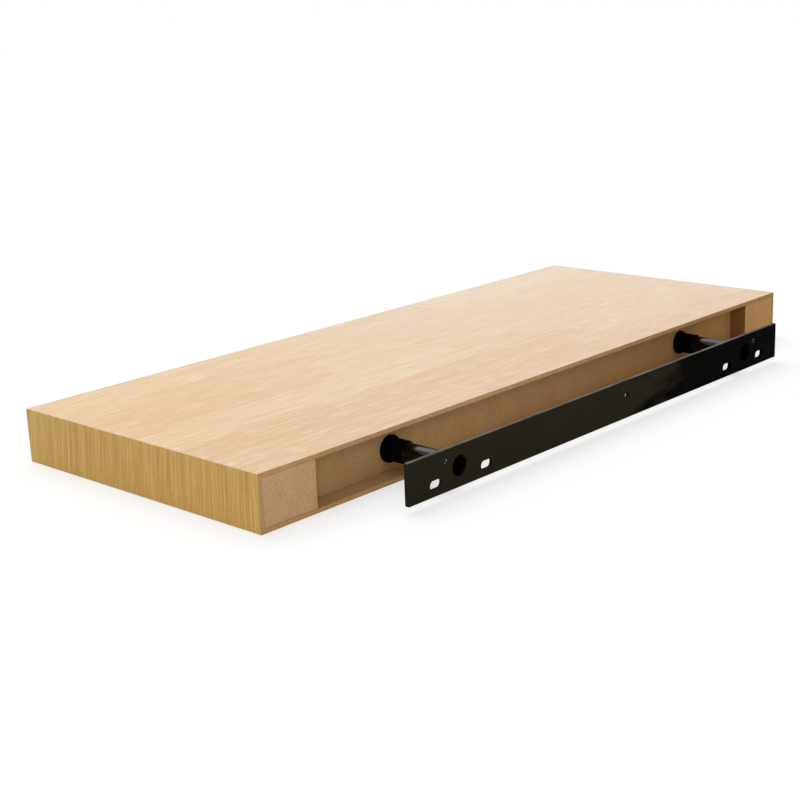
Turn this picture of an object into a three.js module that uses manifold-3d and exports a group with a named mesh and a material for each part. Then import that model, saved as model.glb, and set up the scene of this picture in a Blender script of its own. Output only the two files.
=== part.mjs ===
// Floating wall shelf with a hidden two-rod wall bracket.
// A hollow board of thin oak-faced skins on a fibreboard frame with a paper honeycomb core slides over two
// sheathed rods that stand out of a steel wall plate. The bracket is drawn partly pulled out of the board.
// Millimetres. +X runs along the board, its front edge faces -Y, the wall is on the +Y side, +Z is up.
// The origin is at the middle of the whole, at the height of the board's underside.
import * as THREE from "three";
import { ConvexGeometry } from "three/addons/geometries/ConvexGeometry.js";
import { mergeVertices } from "three/addons/utils/BufferGeometryUtils.js";
import Module from "manifold-3d";

const wasm = await Module();
wasm.setup();

// Board
const boardLength = 600;
const boardDepth = 235;
const boardThickness = 38;
const skinThickness = 3;
const foldSetback = 0.08; // how far each mitre stays back from the fold line
const glueGap = 0.2; // between a frame piece and what it is glued to

// Frame inside the board
const endBattenWidth = 44;
const frontBattenThickness = 18;
const rearRailThickness = 18;
const recessDepth = 14; // from the board's rear edges to the rear rail
const rodBattenWidth = 44;

// Honeycomb core
const cellPitch = 24; // about, because whole cells fill each sheet
const paperWall = 1.2;
const coreClearance = 0.4;

// Wall bracket
const standoff = 46; // from the board's rear edges to the wall, as drawn
const rodInset = 127; // from a rod's axis to the nearer end of the board
const rodAxisHeight = 18; // above the board's underside
const plateEndMargin = 48.5; // from a rod's axis to the plate's end
const plateHeight = 28;
const plateThickness = 3;
const plateCornerRadius = 1.2;
const plateEdgeBevel = 0.35;

// Rods: a steel tube with a plastic sheath from a short way behind the plate to past the tip
const tubeRadius = 6.8;
const tubeWall = 1.2;
const tubeReach = 150; // from the plate's inner face to the tip
const tubeEndRecess = 1.2; // the tube's open end lies this far inside the plate's hole
const tubeFit = 0.15;
const weldLeg = 1.6;
const sheathStart = 41.5; // from the plate's inner face
const sheathRadius = 7.9;
const sheathTipWall = 1.5;
const sheathMouthChamfer = 0.5;
const sheathTipChamfer = 1.5;

// Bushes in the rear rail
const bushFlangeRadius = 9.4;
const bushFlangeThickness = 2;
const bushFlangeRound = 0.8;
const bushBarrelRadius = 8.85;
const bushFit = 0.15;
const bushBoreRound = 0.3;
const rodClearance = 0.25; // between a sheath and the bore it slides in
const boreEndClearance = 4; // past the tip when the plate is fully home

// Slots for the wall screws, two beside each rod, and a small hole near the plate's middle
const slotInboard = 26.5; // from the rod's axis towards the plate's middle
const slotOutboard = 22.5; // from the rod's axis towards the plate's end
const slotDrop = 6.2; // below the rod's axis
const slotLength = 11.5;
const slotWidth = 6;
const middleHoleRadius = 2.4;
const middleHoleShift = -10.5; // along the plate, from its middle
const middleHoleRise = 2.8;

// Levelling screws
const levellerOffset = 13.5; // outboard of the rod's axis
const levellerRise = 6.6;
const levellerRadius = 2.4;
const levellerFit = 0.2;
const levellerLength = 10;
const levellerSink = 0.3; // the driven end lies this far below the plate's wall face
const levellerPointRadius = 1.5;
const levellerPointLength = 1;
const levellerEndChamfer = 0.3;
const crossSlotWidth = 0.9;
const crossSlotLength = 3.2;
const crossSlotDepth = 1.6;

// Facets of the round pieces
const rodSegments = 36;
const holeSegments = 9; // for each quarter of a turn
const smallSegments = 20;
const roundSteps = 3;

// Places worked out from the sizes
const cutOverrun = 5;
const wholeDepth = boardDepth + standoff;
const frontY = -wholeDepth / 2;
const boardRearY = frontY + boardDepth;
const wallY = wholeDepth / 2;
const plateInnerY = wallY - plateThickness;
const boardEndX = boardLength / 2;
const skinInnerX = boardEndX - skinThickness;
const recessEndX = skinInnerX - endBattenWidth;
const frameLowZ = skinThickness + glueGap;
const frameHighZ = boardThickness - skinThickness - glueGap;
const frameFrontY = frontY + skinThickness + glueGap;
const frontBattenInnerY = frameFrontY + frontBattenThickness;
const railOuterY = boardRearY - recessDepth;
const railInnerY = railOuterY - rearRailThickness;
const rodX = boardEndX - rodInset;
const plateLength = 2 * (rodX + plateEndMargin);
const boreRadius = sheathRadius + rodClearance;
const sheathTipY = plateInnerY - tubeReach - tubeFit - sheathTipWall;
const boreEndY = sheathTipY - standoff - boreEndClearance;

// Finishes
function finish(color, roughness, metalness) {
  return new THREE.MeshStandardMaterial({ color, roughness, metalness });
}

const oakFoil = () => finish(0xe8cca5, 0.55, 0);
const oakEndFoil = () => finish(0xc09a58, 0.6, 0);
const rawFibreboard = () => finish(0xac8a65, 0.9, 0);
const kraftPaper = () => finish(0xb59468, 0.95, 0);
const blackPaintedSteel = () => finish(0x25221a, 0.45, 0.3);
const blackPlastic = () => finish(0x0b0b0b, 0.7, 0);
const blackZincSteel = () => finish(0x3a3a38, 0.4, 0.8);

// The solid that a closed geometry bounds, for cutting
function solidOf(geometry) {
  const bare = geometry.clone();
  bare.deleteAttribute("normal");
  bare.deleteAttribute("uv");
  const merged = mergeVertices(bare);
  return new wasm.Manifold(
    new wasm.Mesh({
      numProp: 3,
      vertProperties: new Float32Array(merged.attributes.position.array),
      triVerts: new Uint32Array(merged.index.array),
    }),
  );
}

// A geometry with flat faces from a cut solid
function geometryOf(solid) {
  const mesh = solid.getMesh();
  const places = new Float32Array(mesh.vertProperties);
  const indexed = new THREE.BufferGeometry();
  indexed.setAttribute("position", new THREE.BufferAttribute(places, mesh.numProp));
  indexed.setIndex(new THREE.BufferAttribute(new Uint32Array(mesh.triVerts), 1));
  const faceted = indexed.toNonIndexed();
  faceted.computeVertexNormals();
  return faceted;
}

function cut(geometry, ...tools) {
  const left = tools.reduce((solid, tool) => solid.subtract(solidOf(tool)), solidOf(geometry));
  return geometryOf(left);
}

// A box between two corners
function boxBetween(low, high) {
  const size = new THREE.Vector3().subVectors(high, low);
  const middle = new THREE.Vector3().addVectors(low, high).multiplyScalar(0.5);
  return new THREE.BoxGeometry(size.x, size.y, size.z).translate(middle.x, middle.y, middle.z);
}

// The four corners of a flat rectangle that lies square to one axis
function rectangleCorners(low, high) {
  const corners = [];
  for (const x of new Set([low.x, high.x])) {
    for (const y of new Set([low.y, high.y])) {
      for (const z of new Set([low.z, high.z])) {
        corners.push(new THREE.Vector3(x, y, z));
      }
    }
  }
  return corners;
}

// A panel with mitred edges: its outer face is larger than its inner face
function mitredPanel(outerLow, outerHigh, innerLow, innerHigh) {
  const outer = rectangleCorners(outerLow, outerHigh);
  const inner = rectangleCorners(innerLow, innerHigh);
  return new ConvexGeometry([...outer, ...inner]);
}

// A drawn outline in X and Z, thickened along Y: it ends at y = 0 and starts at y = -depth
function thickenedInwards(outline, depth, bevel) {
  const flat = new THREE.ExtrudeGeometry(outline, {
    depth: depth - 2 * bevel,
    bevelEnabled: bevel > 0,
    bevelThickness: bevel,
    bevelSize: bevel,
    bevelOffset: -bevel,
    bevelSegments: 1,
    curveSegments: holeSegments,
  });
  return flat.translate(0, 0, bevel).rotateX(Math.PI / 2);
}

// A round piece about the Y axis from [radius, y] pairs that run once round its section
function turned(section, segments) {
  const points = section.map(([radius, y]) => new THREE.Vector2(radius, y));
  return new THREE.LatheGeometry(points, segments);
}

// The points of a quarter round about (radius, y), from one angle to the next, in radians
function quarterRound(radius, y, round, fromAngle, toAngle) {
  const points = [];
  for (let step = 0; step <= roundSteps; step += 1) {
    const angle = fromAngle + ((toAngle - fromAngle) * step) / roundSteps;
    points.push([radius + round * Math.cos(angle), y + round * Math.sin(angle)]);
  }
  return points;
}

function roundHole(x, z, radius) {
  return new THREE.Path().absarc(x, z, radius, 0, 2 * Math.PI, true);
}

// A hole with two round ends, longer along X
function slottedHole(x, z, length, width) {
  const radius = width / 2;
  const reach = length / 2 - radius;
  const path = new THREE.Path();
  path.absarc(x + reach, z, radius, Math.PI / 2, -Math.PI / 2, true);
  path.absarc(x - reach, z, radius, -Math.PI / 2, -(3 * Math.PI) / 2, true);
  path.closePath();
  return path;
}

function rectangle(lowX, lowZ, highX, highZ) {
  const outline = new THREE.Shape();
  outline.moveTo(lowX, lowZ);
  outline.lineTo(highX, lowZ);
  outline.lineTo(highX, highZ);
  outline.lineTo(lowX, highZ);
  outline.closePath();
  return outline;
}

function roundedRectangle(width, height, radius) {
  const outline = new THREE.Shape();
  const x = width / 2 - radius;
  const z = height / 2 - radius;
  outline.absarc(x, z, radius, 0, Math.PI / 2, false);
  outline.absarc(-x, z, radius, Math.PI / 2, Math.PI, false);
  outline.absarc(-x, -z, radius, Math.PI, (3 * Math.PI) / 2, false);
  outline.absarc(x, -z, radius, (3 * Math.PI) / 2, 2 * Math.PI, false);
  outline.closePath();
  return outline;
}

// Skins
const at = (x, y, z) => new THREE.Vector3(x, y, z);

// The top or bottom skin: outerZ is its show face and innerZ the face glued to the frame
function faceSkin(outerZ, innerZ) {
  const outerX = boardEndX - foldSetback;
  const innerX = skinInnerX - foldSetback;
  const outerFrontY = frontY + foldSetback;
  const innerFrontY = frontY + skinThickness + foldSetback;
  return mitredPanel(
    at(-outerX, outerFrontY, outerZ),
    at(outerX, boardRearY, outerZ),
    at(-innerX, innerFrontY, innerZ),
    at(innerX, boardRearY, innerZ),
  );
}

// The skin over one end of the board: side is +1 or -1
function endSkin(side) {
  const lowZ = skinThickness + foldSetback;
  return mitredPanel(
    at(side * boardEndX, frontY + foldSetback, foldSetback),
    at(side * boardEndX, boardRearY, boardThickness - foldSetback),
    at(side * skinInnerX, frontY + skinThickness + foldSetback, lowZ),
    at(side * skinInnerX, boardRearY, boardThickness - lowZ),
  );
}

function frontSkin() {
  const outerX = boardEndX - foldSetback;
  const innerX = skinInnerX - foldSetback;
  const lowZ = skinThickness + foldSetback;
  return mitredPanel(
    at(-outerX, frontY, foldSetback),
    at(outerX, frontY, boardThickness - foldSetback),
    at(-innerX, frontY + skinThickness, lowZ),
    at(innerX, frontY + skinThickness, boardThickness - lowZ),
  );
}

// Frame

function endBatten(side) {
  const inner = side * recessEndX;
  const outer = side * (skinInnerX - glueGap);
  return boxBetween(
    at(Math.min(inner, outer), frameFrontY, frameLowZ),
    at(Math.max(inner, outer), boardRearY, frameHighZ),
  );
}

function frontBatten() {
  const endX = recessEndX - glueGap;
  return boxBetween(at(-endX, frameFrontY, frameLowZ), at(endX, frontBattenInnerY, frameHighZ));
}

// The rail behind the recess, bored for the two bushes
function rearRail() {
  const endX = recessEndX - glueGap;
  const outline = rectangle(-endX, frameLowZ, endX, frameHighZ);
  for (const side of [-1, 1]) {
    outline.holes.push(roundHole(side * rodX, rodAxisHeight, bushBarrelRadius + bushFit));
  }
  return thickenedInwards(outline, rearRailThickness, 0).translate(0, railOuterY, 0);
}

// The batten behind one bush, from the rear rail to the front batten, with the blind bore that a rod runs in
function rodBatten(side) {
  const middle = side * rodX;
  const body = boxBetween(
    at(middle - rodBattenWidth / 2, frontBattenInnerY + glueGap, frameLowZ),
    at(middle + rodBattenWidth / 2, railInnerY - glueGap, frameHighZ),
  );
  const boreStartY = railInnerY + cutOverrun;
  const bore = new THREE.CylinderGeometry(boreRadius, boreRadius, boreStartY - boreEndY, rodSegments);
  bore.translate(middle, (boreStartY + boreEndY) / 2, rodAxisHeight);
  return cut(body, bore);
}

// Honeycomb core

// One cell of the honeycomb: two corners point along Y, and the paper's thickness is left round it
function cellHole(x, y, columnPitch, rowPitch) {
  const halfWidth = (columnPitch - paperWall) / 2;
  const pointReach = (rowPitch * halfWidth * 4) / (3 * columnPitch);
  const path = new THREE.Path();
  path.moveTo(x, y + pointReach);
  path.lineTo(x + halfWidth, y + pointReach / 2);
  path.lineTo(x + halfWidth, y - pointReach / 2);
  path.lineTo(x, y - pointReach);
  path.lineTo(x - halfWidth, y - pointReach / 2);
  path.lineTo(x - halfWidth, y + pointReach / 2);
  path.closePath();
  return path;
}

// A sheet of expanded paper honeycomb between two X places, its cells open upwards and every second row set
// over by half a cell
function honeycombCore(lowX, highX) {
  const lowY = frontBattenInnerY + coreClearance;
  const highY = railInnerY - coreClearance;
  const sheet = rectangle(lowX + coreClearance, lowY, highX - coreClearance, highY);
  const width = highX - lowX - 2 * coreClearance - paperWall;
  const length = highY - lowY - paperWall;
  const columns = Math.max(1, Math.round(width / cellPitch));
  const columnPitch = width / columns;
  const rows = Math.max(1, Math.round((2 * length) / (Math.sqrt(3) * cellPitch) - 1 / 3));
  const rowPitch = length / (rows + 1 / 3);
  const middleX = (lowX + highX) / 2;
  const middleY = (lowY + highY) / 2;
  for (let row = 0; row < rows; row += 1) {
    const cells = row % 2 === 0 ? columns : columns - 1;
    for (let cell = 0; cell < cells; cell += 1) {
      const x = middleX + (cell - (cells - 1) / 2) * columnPitch;
      const y = middleY + (row - (rows - 1) / 2) * rowPitch;
      sheet.holes.push(cellHole(x, y, columnPitch, rowPitch));
    }
  }
  const height = frameHighZ - frameLowZ - 2 * glueGap;
  const core = new THREE.ExtrudeGeometry(sheet, { depth: height, bevelEnabled: false });
  return core.translate(0, 0, frameLowZ + glueGap);
}

// Bushes

// A flanged plastic bush about the Y axis: y = 0 is the face of the rail, and the flange stands out of it
function bush() {
  const boreEdge = boreRadius + bushBoreRound;
  const flangeFlat = bushFlangeThickness - bushFlangeRound;
  return turned(
    [
      [boreRadius, -rearRailThickness],
      [bushBarrelRadius, -rearRailThickness],
      [bushBarrelRadius, bushFit],
      [bushFlangeRadius, bushFit],
      ...quarterRound(bushFlangeRadius - bushFlangeRound, flangeFlat, bushFlangeRound, 0, Math.PI / 2),
      [boreEdge, bushFlangeThickness],
      [boreRadius, bushFlangeThickness - bushBoreRound],
      [boreRadius, -rearRailThickness],
    ],
    rodSegments,
  );
}

// Wall bracket

function wallPlate() {
  const outline = roundedRectangle(plateLength, plateHeight, plateCornerRadius);
  for (const side of [-1, 1]) {
    const x = side * rodX;
    outline.holes.push(roundHole(x, 0, tubeRadius + tubeFit));
    outline.holes.push(roundHole(x + side * levellerOffset, levellerRise, levellerRadius + levellerFit));
    outline.holes.push(slottedHole(x - side * slotInboard, -slotDrop, slotLength, slotWidth));
    outline.holes.push(slottedHole(x + side * slotOutboard, -slotDrop, slotLength, slotWidth));
  }
  outline.holes.push(roundHole(middleHoleShift, middleHoleRise, middleHoleRadius));
  return thickenedInwards(outline, plateThickness, plateEdgeBevel);
}

// A steel tube about the Y axis, welded behind the plate: y = 0 is the plate's inner face
function supportTube() {
  const bore = tubeRadius - tubeWall;
  return turned(
    [
      [bore, -tubeReach],
      [tubeRadius, -tubeReach],
      [tubeRadius, -tubeFit - weldLeg],
      [tubeRadius + weldLeg, -tubeFit],
      [tubeRadius, -tubeFit],
      [tubeRadius, plateThickness - tubeEndRecess],
      [bore, plateThickness - tubeEndRecess],
      [bore, -tubeReach],
    ],
    rodSegments,
  );
}

// The sheath over one tube, closed past the tip: y = 0 is the plate's inner face
function rodSheath() {
  const bore = tubeRadius + tubeFit;
  const floorY = -tubeReach - tubeFit;
  const tipY = floorY - sheathTipWall;
  return turned(
    [
      [0, tipY],
      [sheathRadius - sheathTipChamfer, tipY],
      [sheathRadius, tipY + sheathTipChamfer],
      [sheathRadius, -sheathStart - sheathMouthChamfer],
      [sheathRadius - sheathMouthChamfer, -sheathStart],
      [bore, -sheathStart],
      [bore, floorY],
      [0, floorY],
    ],
    rodSegments,
  );
}

// A headless levelling screw about the Y axis with a cross recess in its wall end: y = 0 is that end
function levellingScrew() {
  const body = turned(
    [
      [0, -levellerLength],
      [levellerPointRadius, -levellerLength],
      [levellerRadius, -levellerLength + levellerPointLength],
      [levellerRadius, -levellerEndChamfer],
      [levellerRadius - levellerEndChamfer, 0],
      [0, 0],
    ],
    smallSegments,
  );
  const long = crossSlotLength / 2;
  const narrow = crossSlotWidth / 2;
  const across = boxBetween(at(-long, -crossSlotDepth, -narrow), at(long, cutOverrun, narrow));
  const upright = boxBetween(at(-narrow, -crossSlotDepth, -long), at(narrow, cutOverrun, long));
  return cut(body, across, upright);
}

// Assembly

function piece(name, geometry, material) {
  const mesh = new THREE.Mesh(geometry, material);
  mesh.name = name;
  return mesh;
}

const ends = [
  { name: "left", side: -1 },
  { name: "right", side: 1 },
];

const board = new THREE.Group();
board.add(piece("top_skin", faceSkin(boardThickness, boardThickness - skinThickness), oakFoil()));
board.add(piece("bottom_skin", faceSkin(0, skinThickness), oakFoil()));
board.add(piece("front_edge_skin", frontSkin(), oakFoil()));
board.add(piece("front_batten", frontBatten(), rawFibreboard()));
board.add(piece("rear_rail", rearRail(), rawFibreboard()));

const coreEdgeX = rodX - rodBattenWidth / 2;
const outerCoreEdgeX = rodX + rodBattenWidth / 2;
board.add(piece("middle_honeycomb_core", honeycombCore(-coreEdgeX, coreEdgeX), kraftPaper()));
board.add(piece("left_honeycomb_core", honeycombCore(-recessEndX, -outerCoreEdgeX), kraftPaper()));
board.add(piece("right_honeycomb_core", honeycombCore(outerCoreEdgeX, recessEndX), kraftPaper()));

const bracket = new THREE.Group();
bracket.position.set(0, wallY, rodAxisHeight);
bracket.add(piece("wall_plate", wallPlate(), blackPaintedSteel()));

for (const { name, side } of ends) {
  board.add(piece(`${name}_end_skin`, endSkin(side), oakEndFoil()));
  board.add(piece(`${name}_end_batten`, endBatten(side), rawFibreboard()));
  board.add(piece(`${name}_rod_batten`, rodBatten(side), rawFibreboard()));

  const rodBush = piece(`${name}_rod_bush`, bush(), blackPlastic());
  rodBush.position.set(side * rodX, railOuterY, rodAxisHeight);
  board.add(rodBush);

  const rod = new THREE.Group();
  rod.position.set(side * rodX, -plateThickness, 0);
  rod.add(piece(`${name}_support_tube`, supportTube(), blackPaintedSteel()));
  rod.add(piece(`${name}_rod_sheath`, rodSheath(), blackPlastic()));
  bracket.add(rod);

  const leveller = piece(`${name}_levelling_screw`, levellingScrew(), blackZincSteel());
  leveller.position.set(side * (rodX + levellerOffset), -levellerSink, levellerRise);
  bracket.add(leveller);
}

const shelf = new THREE.Group();
shelf.add(board);
shelf.add(bracket);

export default shelf;
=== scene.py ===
"""Floating wall shelf, seen from behind with its hidden bracket partly drawn out of the board.

Metres, in the part's own frame: +X runs along the board, the wall is on the +Y side and +Z is up.
"""

import math

import bpy
from mathutils import Matrix, Vector


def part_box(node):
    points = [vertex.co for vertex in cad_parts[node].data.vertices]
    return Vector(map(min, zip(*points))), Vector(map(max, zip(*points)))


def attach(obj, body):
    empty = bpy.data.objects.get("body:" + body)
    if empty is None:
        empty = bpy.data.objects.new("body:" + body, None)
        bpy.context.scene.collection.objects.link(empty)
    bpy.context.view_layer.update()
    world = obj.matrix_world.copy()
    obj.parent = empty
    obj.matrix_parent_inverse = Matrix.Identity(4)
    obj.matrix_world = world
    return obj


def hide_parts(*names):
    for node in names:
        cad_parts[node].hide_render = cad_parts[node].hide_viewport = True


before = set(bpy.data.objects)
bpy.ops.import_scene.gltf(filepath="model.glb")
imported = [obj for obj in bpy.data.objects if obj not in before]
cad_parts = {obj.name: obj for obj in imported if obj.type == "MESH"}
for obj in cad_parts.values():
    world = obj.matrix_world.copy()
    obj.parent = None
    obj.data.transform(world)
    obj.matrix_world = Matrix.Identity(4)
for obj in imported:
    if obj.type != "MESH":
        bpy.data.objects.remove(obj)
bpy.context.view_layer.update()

MM = 0.001

# Board, read from the frame where it says it
BOARD_LOW = Vector((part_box("left_end_skin")[0].x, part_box("front_edge_skin")[0].y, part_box("bottom_skin")[0].z))
BOARD_HIGH = Vector((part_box("right_end_skin")[1].x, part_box("top_skin")[1].y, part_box("top_skin")[1].z))
SKIN_THICKNESS = 3 * MM
FOLD_ROUND = 0.5 * MM
FOLD_GAP = 0.02 * MM  # between two skins along their mitre
FOLD_STEPS = 3
BATTEN_EDGE_ROUND = 0.15 * MM
BATTEN_EDGE_STEPS = 3
SHOW_FACE = 0.3  # a face that looks outward by more than this share is a show face
INNER_FACE = -0.9  # and one below this is an inner face

# Staves of the foil, from the board's front edge to its rear edge
STAVE_WIDTH = 39.6 * MM
FIRST_STAVE_WIDTH = 42 * MM
STAVE_JOINTS = (390, 225, 190, 293, 395, 216)  # from the board's right end, in millimetres
STAVE_ROWS = len(STAVE_JOINTS)
PALE, HONEY, AMBER, PEACH = 0.0, 0.5, 0.8, 1.0
# The tone of each row before and past its joint, counted from the right end
STAVE_WOODS = ((HONEY, PALE), (AMBER, HONEY), (AMBER, HONEY), (PALE, HONEY), (PEACH, HONEY), (AMBER, PEACH))
# How far along the wood, in metres, the staves take their grain, and the share of that which goes across it
GRAIN_PER_ROW, GRAIN_PAST_JOINT, GRAIN_ON_TOP = 1.37, 4.71, 2.9
GRAIN_ACROSS = 0.53
GRAIN_WANDER = 14 * MM
GRAIN_WOBBLE = 2.5 * MM
# Growth rings: how far they arch, slant and waver, and how many there are to one unit of that
RING_ARCH, RING_SLANT, RING_WAVER = 30.0, 62.0, 9.0
RING_RATE = 0.62
END_GRAIN_LEAN = (-0.16, -0.02)  # at the front and at the rear of the board's ends
END_GRAIN_WANDER = 4 * MM

# Bands of tone that follow the photo's uneven light: where each starts and where it is full, in metres
GOLDEN_CAST = (0.36, 0.0)  # from the board's right end
DEEP_STAVES = (0.24, 0.1)  # the same
REAR_SHADE = (-0.06, BOARD_HIGH.y)  # along Y
CLEAR_GRAIN = (-0.2, 0.15)  # along X, as are those below
CLEAR_STREAKS = (-0.2, 0.1)
LEFT_PAINTED_SHADE = (0.07, -0.22)
RIGHT_SHADE = (0.15, 0.24)
RIGHT_SHADE_COLOUR = (0.75, 0.75, 0.73)
PLATE_PAINTED_SHEEN = (-0.066, -0.031)
PLATE_PAINTED_SHEEN_RAGGED = 0.03

# Wall plate
PLATE_LOW, PLATE_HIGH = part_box("wall_plate")
WALL_Y = PLATE_HIGH.y
PLATE_INNER_Y = PLATE_LOW.y
PLATE_CORNER_RADIUS = 1.2 * MM
PLATE_EDGE_ROUND = 0.55 * MM
PLATE_EDGE_STEPS = 4
PLATE_CORNER_STEPS = 6
WORN_AND_HIGHLIT_EDGE = (0.35 * MM, 0.05 * MM)  # in from the plate's long edges: from whole paint to rubbed grey, which is partly a painted highlight
HOLE_MOUTH_ROUND = 0.3 * MM
HOLE_MOUTH_STEPS = 3
CUT_OVERRUN = 1 * MM
ROD_X = sum(corner.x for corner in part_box("right_rod_bush")) / 2
ROD_Z = sum(corner.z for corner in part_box("right_rod_bush")) / 2
SLOT_INBOARD = 26.5 * MM
SLOT_OUTBOARD = 22.5 * MM
SLOT_DROP = 6.2 * MM
SLOT_LENGTH = 11.5 * MM
SLOT_WIDTH = 6 * MM
MIDDLE_HOLE_RADIUS = 2.4 * MM
MIDDLE_HOLE_SHIFT = -10.5 * MM
MIDDLE_HOLE_RISE = 2.8 * MM

# Rods
TUBE_RADIUS = 6.8 * MM
TUBE_BORE = 5.6 * MM
TUBE_REACH = 150 * MM
TUBE_END_RECESS = 1.2 * MM
TUBE_FIT = 0.15 * MM
TUBE_LIP_ROUND = 0.25 * MM
WELD_LEG = 1.6 * MM
WELD_BULGE = 0.25 * MM
WELD_BITE = 0.05 * MM
WELD_STEPS = 6
WELD_PLAIN_RINGS = 2  # where the bead runs out on the tube
WELD_RIPPLES = 26
WELD_RIPPLE_HEIGHT = 0.12 * MM
SHEATH_RADIUS = 7.9 * MM
SHEATH_START = 41.5 * MM
SHEATH_TIP_WALL = 1.5 * MM
SHEATH_MOUTH_ROUND = 0.4 * MM
SHEATH_TIP_ROUND = 1.5 * MM
ROUND_SEGMENTS = 96
ON_AXIS = 1e-9

# Bushes
RAIL_OUTER_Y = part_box("rear_rail")[1].y
RAIL_THICKNESS = 18 * MM
BUSH_FLANGE_RADIUS = 9.4 * MM
BUSH_FLANGE_THICKNESS = 2 * MM
BUSH_FLANGE_ROUND = 0.8 * MM
BUSH_BARREL_RADIUS = 8.85 * MM
BUSH_BORE = 8.15 * MM
BUSH_MOUTH_ROUND = 0.3 * MM
BUSH_SEAT = 0.15 * MM

# Levelling screws
SCREW_OFFSET = 13.5 * MM
SCREW_RISE = 6.6 * MM
SCREW_RADIUS = 2.4 * MM
SCREW_HOLE_RADIUS = 2.6 * MM
SCREW_SINK = 0.3 * MM
SCREW_LENGTH = 10 * MM
THREAD_PITCH = 0.8 * MM
THREAD_DEPTH = 0.4 * MM
THREAD_FLANK = 2.7
THREAD_RINGS_PER_TURN = 10
THREAD_SEGMENTS = 40
SCREW_POINT_LENGTH = 1 * MM
SCREW_POINT_TAPER = 0.9
SCREW_CHAMFER = 0.3 * MM
CROSS_WIDTH = 0.9 * MM
CROSS_LENGTH = 3.2 * MM
CROSS_DEPTH = 1.6 * MM
CROSS_TAPER = 0.6
CROSS_MARGIN = 0.05 * MM
CROSS_DARKENING = (1.3 * MM, 0.7 * MM)  # below the plate's wall face: from black to bare
LEFT_CROSS_SHADED_SHINE = 0.12  # the left screw's bare steel, darkened as painted shade, as a share of the right screw's

SIDES = (("left", -1), ("right", 1))


# Meshes


def piece_of(name, vertices, faces, materials=()):
    """A mesh object of the given points and faces, linked to the scene."""
    mesh = bpy.data.meshes.new(name)
    mesh.from_pydata([tuple(v) for v in vertices], [], faces)
    mesh.update()
    for material in materials:
        mesh.materials.append(material)
    made = bpy.data.objects.new(name, mesh)
    bpy.context.scene.collection.objects.link(made)
    return made


def settle(made):
    """Makes the object's modifiers part of its mesh."""
    graph = bpy.context.evaluated_depsgraph_get()
    mesh = bpy.data.meshes.new_from_object(made.evaluated_get(graph))
    made.modifiers.clear()
    made.data = mesh
    return made


def shade_round(made, angle=35):
    """Smooth shading that keeps edges sharper than the angle, with flat faces kept flat."""
    for polygon in made.data.polygons:
        polygon.use_smooth = True
    made.data.set_sharp_from_angle(angle=math.radians(angle))
    weighted = made.modifiers.new("flat faces", "WEIGHTED_NORMAL")
    weighted.keep_sharp = True
    return settle(made)


def carve(made, cutter):
    """Cuts one object out of another and removes the cutter."""
    difference = made.modifiers.new("cut", "BOOLEAN")
    difference.object = cutter
    difference.solver = "EXACT"
    settle(made)
    bpy.data.objects.remove(cutter, do_unlink=True)
    return made


def stacked(rings):
    """Points and faces of a closed body through rings with the same number of points each."""
    count = len(rings[0])
    vertices = [point for ring in rings for point in ring]
    faces = [tuple(reversed(range(count)))]
    for level in range(len(rings) - 1):
        low, high = level * count, (level + 1) * count
        for k in range(count):
            after = (k + 1) % count
            faces.append((low + k, low + after, high + after, high + k))
    top = (len(rings) - 1) * count
    faces.append(tuple(range(top, top + count)))
    return vertices, faces


def turned(name, section, centre, material, segments=ROUND_SEGMENTS, swell=None):
    """A body turned about an axis along Y from (radius, y) pairs that run once round its section.

    swell, where given, says how far a point stands out for its angle and its place in the section.
    """
    vertices, starts = [], []
    for index, (radius, y) in enumerate(section):
        starts.append(len(vertices))
        if radius < ON_AXIS:
            vertices.append((centre[0], y, centre[1]))
            continue
        for k in range(segments):
            angle = 2 * math.pi * k / segments
            out = radius + (swell(angle, index) if swell else 0.0)
            vertices.append((centre[0] + out * math.cos(angle), y, centre[1] + out * math.sin(angle)))
    faces = []
    for index in range(len(section)):
        following = (index + 1) % len(section)
        on_axis = section[index][0] < ON_AXIS
        next_on_axis = section[following][0] < ON_AXIS
        if on_axis and next_on_axis:
            continue
        a, b = starts[index], starts[following]
        for k in range(segments):
            after = (k + 1) % segments
            if on_axis:
                faces.append((a, b + k, b + after))
            elif next_on_axis:
                faces.append((a + after, a + k, b))
            else:
                faces.append((a + after, a + k, b + k, b + after))
    return piece_of(name, vertices, faces, [material])


def arc(radius, y, round_radius, from_degrees, to_degrees, steps=4):
    """Section points of an arc about (radius, y)."""
    points = []
    for step in range(steps + 1):
        angle = math.radians(from_degrees + (to_degrees - from_degrees) * step / steps)
        points.append((radius + round_radius * math.cos(angle), y + round_radius * math.sin(angle)))
    return points


# Node materials


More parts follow.
